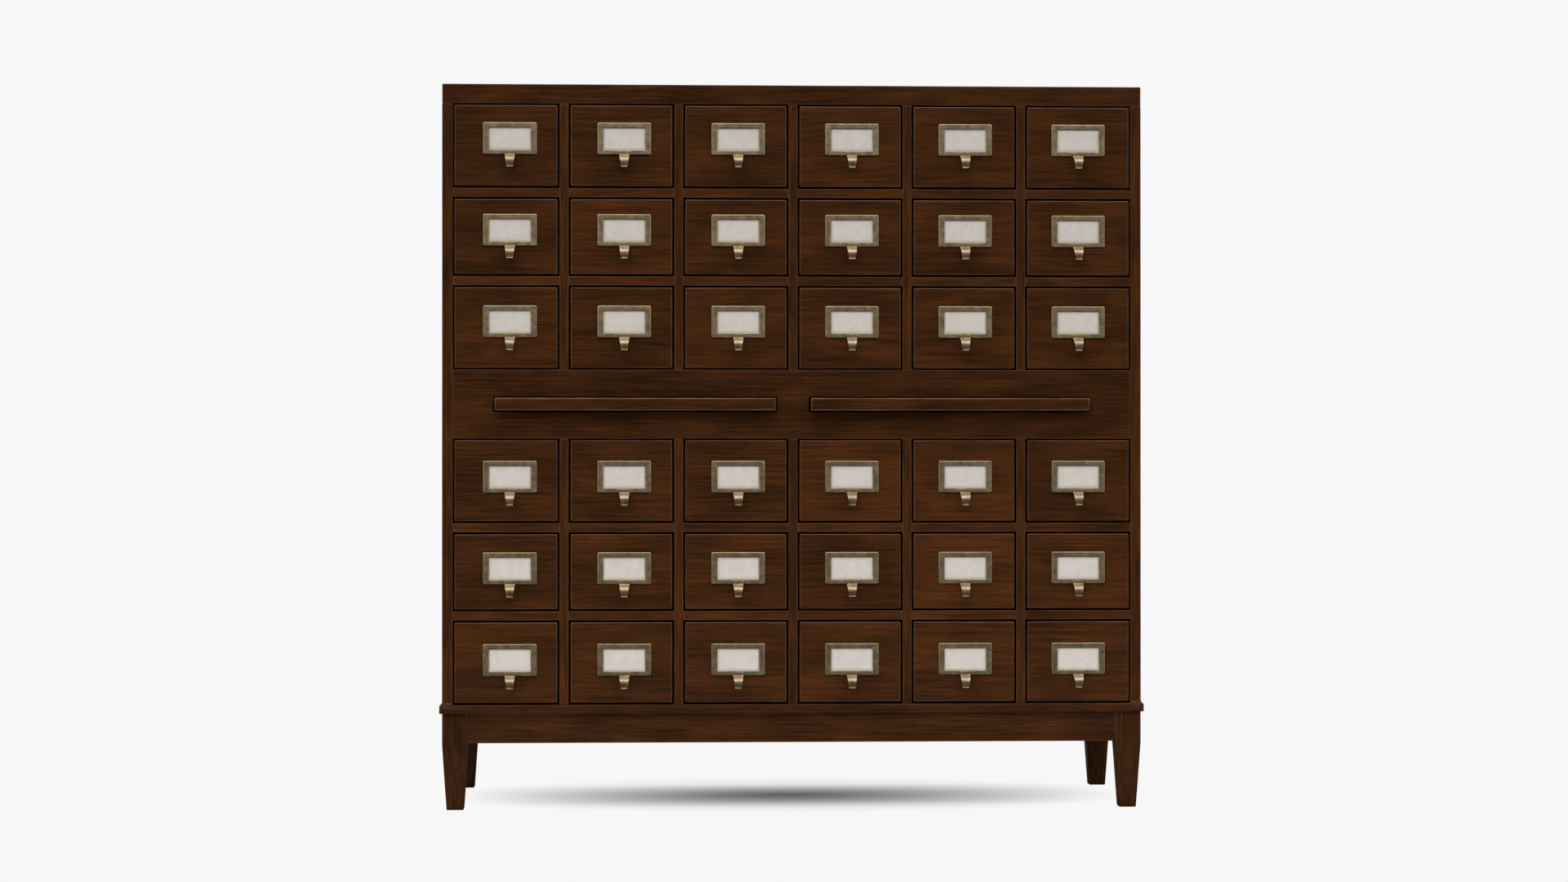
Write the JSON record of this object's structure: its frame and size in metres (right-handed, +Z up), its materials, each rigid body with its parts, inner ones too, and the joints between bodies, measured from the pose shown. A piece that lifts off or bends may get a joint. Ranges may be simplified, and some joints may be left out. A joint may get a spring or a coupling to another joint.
{
  "type": "card catalog cabinet",
  "caption": "Free-standing wooden library card catalog: a grid of small card drawers with brass label-holder pulls, pull-out writing slides and a moulded base on tapered legs.",
  "frame": {"origin": "on the floor, under the middle of the whole cabinet's box", "axes": "+X to the right seen from the front, +Y towards the back, +Z up; the drawers pull out along -Y"},
  "size_m": [1.092, 0.389, 1.1215],
  "materials": {
    "stained_wood": "dark red-brown stained hardwood, satin lacquer with worn lighter edges",
    "drawer_wood": "dark stained hardwood front, plainer stained box behind it",
    "plain_wood": "unstained secondary hardwood",
    "plywood": "stained plywood",
    "brass": "antique brass, darkened and mottled, bright on worn edges",
    "card": "plain off-white paper card",
    "steel": "zinc-plated screws and bolts"
  },
  "bodies": {
    "cabinet": {"top_panel": "stained_wood", "left_side_panel": "stained_wood", "right_side_panel": "stained_wood", "bottom_panel": "stained_wood", "back_panel": "plywood", "column_dividers": "stained_wood", "drawer_shelves": "stained_wood", "drawer_stops": "plain_wood", "middle_rail": "stained_wood", "middle_decks": "stained_wood", "slide_guides": "plain_wood", "base_moulding": "stained_wood", "front_apron": "stained_wood", "rear_apron": "stained_wood", "side_aprons": "stained_wood", "front_left_leg": "stained_wood", "front_right_leg": "stained_wood", "rear_left_leg": "stained_wood", "rear_right_leg": "stained_wood", "corner_blocks": "plain_wood", "leg_bolts": "steel", "back_panel_screws": "steel"},
    "writing_slide_left": {"writing_slide_left": "stained_wood"},
    "writing_slide_right": {"writing_slide_right": "stained_wood"},
    "drawer_r1_c1": {"drawer_r1_c1": "drawer_wood"},
    "drawer_r1_c2": {"drawer_r1_c2": "drawer_wood"},
    "drawer_r1_c3": {"drawer_r1_c3": "drawer_wood"},
    "drawer_r1_c4": {"drawer_r1_c4": "drawer_wood"},
    "drawer_r1_c5": {"drawer_r1_c5": "drawer_wood"},
    "drawer_r1_c6": {"drawer_r1_c6": "drawer_wood"},
    "drawer_r2_c1": {"drawer_r2_c1": "drawer_wood"},
    "drawer_r2_c2": {"drawer_r2_c2": "drawer_wood"},
    "drawer_r2_c3": {"drawer_r2_c3": "drawer_wood"},
    "drawer_r2_c4": {"drawer_r2_c4": "drawer_wood"},
    "drawer_r2_c5": {"drawer_r2_c5": "drawer_wood"},
    "drawer_r2_c6": {"drawer_r2_c6": "drawer_wood"},
    "drawer_r3_c1": {"drawer_r3_c1": "drawer_wood"},
    "drawer_r3_c2": {"drawer_r3_c2": "drawer_wood"},
    "drawer_r3_c3": {"drawer_r3_c3": "drawer_wood"},
    "drawer_r3_c4": {"drawer_r3_c4": "drawer_wood"},
    "drawer_r3_c5": {"drawer_r3_c5": "drawer_wood"},
    "drawer_r3_c6": {"drawer_r3_c6": "drawer_wood"},
    "drawer_r4_c1": {"drawer_r4_c1": "drawer_wood"},
    "drawer_r4_c2": {"drawer_r4_c2": "drawer_wood"},
    "drawer_r4_c3": {"drawer_r4_c3": "drawer_wood"},
    "drawer_r4_c4": {"drawer_r4_c4": "drawer_wood"},
    "drawer_r4_c5": {"drawer_r4_c5": "drawer_wood"},
    "drawer_r4_c6": {"drawer_r4_c6": "drawer_wood"},
    "drawer_r5_c1": {"drawer_r5_c1": "drawer_wood"},
    "drawer_r5_c2": {"drawer_r5_c2": "drawer_wood"},
    "drawer_r5_c3": {"drawer_r5_c3": "drawer_wood"},
    "drawer_r5_c4": {"drawer_r5_c4": "drawer_wood"},
    "drawer_r5_c5": {"drawer_r5_c5": "drawer_wood"},
    "drawer_r5_c6": {"drawer_r5_c6": "drawer_wood"},
    "drawer_r6_c1": {"drawer_r6_c1": "drawer_wood"},
    "drawer_r6_c2": {"drawer_r6_c2": "drawer_wood"},
    "drawer_r6_c3": {"drawer_r6_c3": "drawer_wood"},
    "drawer_r6_c4": {"drawer_r6_c4": "drawer_wood"},
    "drawer_r6_c5": {"drawer_r6_c5": "drawer_wood"},
    "drawer_r6_c6": {"drawer_r6_c6": "drawer_wood"}
  },
  "joints": [
    {"name": "slide_pull_left", "type": "slide", "parent": "cabinet", "child": "writing_slide_left", "axis": [0, -1, 0], "range_m": [0, 0.25]},
    {"name": "slide_pull_right", "type": "slide", "parent": "cabinet", "child": "writing_slide_right", "axis": [0, -1, 0], "range_m": [0, 0.25]},
    {"name": "drawer_r1_c1_pull", "type": "slide", "parent": "cabinet", "child": "drawer_r1_c1", "axis": [0, -1, 0], "range_m": [0, 0.3]},
    {"name": "drawer_r1_c2_pull", "type": "slide", "parent": "cabinet", "child": "drawer_r1_c2", "axis": [0, -1, 0], "range_m": [0, 0.3]},
    {"name": "drawer_r1_c3_pull", "type": "slide", "parent": "cabinet", "child": "drawer_r1_c3", "axis": [0, -1, 0], "range_m": [0, 0.3]},
    {"name": "drawer_r1_c4_pull", "type": "slide", "parent": "cabinet", "child": "drawer_r1_c4", "axis": [0, -1, 0], "range_m": [0, 0.3]},
    {"name": "drawer_r1_c5_pull", "type": "slide", "parent": "cabinet", "child": "drawer_r1_c5", "axis": [0, -1, 0], "range_m": [0, 0.3]},
    {"name": "drawer_r1_c6_pull", "type": "slide", "parent": "cabinet", "child": "drawer_r1_c6", "axis": [0, -1, 0], "range_m": [0, 0.3]},
    {"name": "drawer_r2_c1_pull", "type": "slide", "parent": "cabinet", "child": "drawer_r2_c1", "axis": [0, -1, 0], "range_m": [0, 0.3]},
    {"name": "drawer_r2_c2_pull", "type": "slide", "parent": "cabinet", "child": "drawer_r2_c2", "axis": [0, -1, 0], "range_m": [0, 0.3]},
    {"name": "drawer_r2_c3_pull", "type": "slide", "parent": "cabinet", "child": "drawer_r2_c3", "axis": [0, -1, 0], "range_m": [0, 0.3]},
    {"name": "drawer_r2_c4_pull", "type": "slide", "parent": "cabinet", "child": "drawer_r2_c4", "axis": [0, -1, 0], "range_m": [0, 0.3]},
    {"name": "drawer_r2_c5_pull", "type": "slide", "parent": "cabinet", "child": "drawer_r2_c5", "axis": [0, -1, 0], "range_m": [0, 0.3]},
    {"name": "drawer_r2_c6_pull", "type": "slide", "parent": "cabinet", "child": "drawer_r2_c6", "axis": [0, -1, 0], "range_m": [0, 0.3]},
    {"name": "drawer_r3_c1_pull", "type": "slide", "parent": "cabinet", "child": "drawer_r3_c1", "axis": [0, -1, 0], "range_m": [0, 0.3]},
    {"name": "drawer_r3_c2_pull", "type": "slide", "parent": "cabinet", "child": "drawer_r3_c2", "axis": [0, -1, 0], "range_m": [0, 0.3]},
    {"name": "drawer_r3_c3_pull", "type": "slide", "parent": "cabinet", "child": "drawer_r3_c3", "axis": [0, -1, 0], "range_m": [0, 0.3]},
    {"name": "drawer_r3_c4_pull", "type": "slide", "parent": "cabinet", "child": "drawer_r3_c4", "axis": [0, -1, 0], "range_m": [0, 0.3]},
    {"name": "drawer_r3_c5_pull", "type": "slide", "parent": "cabinet", "child": "drawer_r3_c5", "axis": [0, -1, 0], "range_m": [0, 0.3]},
    {"name": "drawer_r3_c6_pull", "type": "slide", "parent": "cabinet", "child": "drawer_r3_c6", "axis": [0, -1, 0], "range_m": [0, 0.3]},
    {"name": "drawer_r4_c1_pull", "type": "slide", "parent": "cabinet", "child": "drawer_r4_c1", "axis": [0, -1, 0], "range_m": [0, 0.3]},
    {"name": "drawer_r4_c2_pull", "type": "slide", "parent": "cabinet", "child": "drawer_r4_c2", "axis": [0, -1, 0], "range_m": [0, 0.3]},
    {"name": "drawer_r4_c3_pull", "type": "slide", "parent": "cabinet", "child": "drawer_r4_c3", "axis": [0, -1, 0], "range_m": [0, 0.3]},
    {"name": "drawer_r4_c4_pull", "type": "slide", "parent": "cabinet", "child": "drawer_r4_c4", "axis": [0, -1, 0], "range_m": [0, 0.3]},
    {"name": "drawer_r4_c5_pull", "type": "slide", "parent": "cabinet", "child": "drawer_r4_c5", "axis": [0, -1, 0], "range_m": [0, 0.3]},
    {"name": "drawer_r4_c6_pull", "type": "slide", "parent": "cabinet", "child": "drawer_r4_c6", "axis": [0, -1, 0], "range_m": [0, 0.3]},
    {"name": "drawer_r5_c1_pull", "type": "slide", "parent": "cabinet", "child": "drawer_r5_c1", "axis": [0, -1, 0], "range_m": [0, 0.3]},
    {"name": "drawer_r5_c2_pull", "type": "slide", "parent": "cabinet", "child": "drawer_r5_c2", "axis": [0, -1, 0], "range_m": [0, 0.3]},
    {"name": "drawer_r5_c3_pull", "type": "slide", "parent": "cabinet", "child": "drawer_r5_c3", "axis": [0, -1, 0], "range_m": [0, 0.3]},
    {"name": "drawer_r5_c4_pull", "type": "slide", "parent": "cabinet", "child": "drawer_r5_c4", "axis": [0, -1, 0], "range_m": [0, 0.3]},
    {"name": "drawer_r5_c5_pull", "type": "slide", "parent": "cabinet", "child": "drawer_r5_c5", "axis": [0, -1, 0], "range_m": [0, 0.3]},
    {"name": "drawer_r5_c6_pull", "type": "slide", "parent": "cabinet", "child": "drawer_r5_c6", "axis": [0, -1, 0], "range_m": [0, 0.3]},
    {"name": "drawer_r6_c1_pull", "type": "slide", "parent": "cabinet", "child": "drawer_r6_c1", "axis": [0, -1, 0], "range_m": [0, 0.3]},
    {"name": "drawer_r6_c2_pull", "type": "slide", "parent": "cabinet", "child": "drawer_r6_c2", "axis": [0, -1, 0], "range_m": [0, 0.3]},
    {"name": "drawer_r6_c3_pull", "type": "slide", "parent": "cabinet", "child": "drawer_r6_c3", "axis": [0, -1, 0], "range_m": [0, 0.3]},
    {"name": "drawer_r6_c4_pull", "type": "slide", "parent": "cabinet", "child": "drawer_r6_c4", "axis": [0, -1, 0], "range_m": [0, 0.3]},
    {"name": "drawer_r6_c5_pull", "type": "slide", "parent": "cabinet", "child": "drawer_r6_c5", "axis": [0, -1, 0], "range_m": [0, 0.3]},
    {"name": "drawer_r6_c6_pull", "type": "slide", "parent": "cabinet", "child": "drawer_r6_c6", "axis": [0, -1, 0], "range_m": [0, 0.3]}
  ]
}
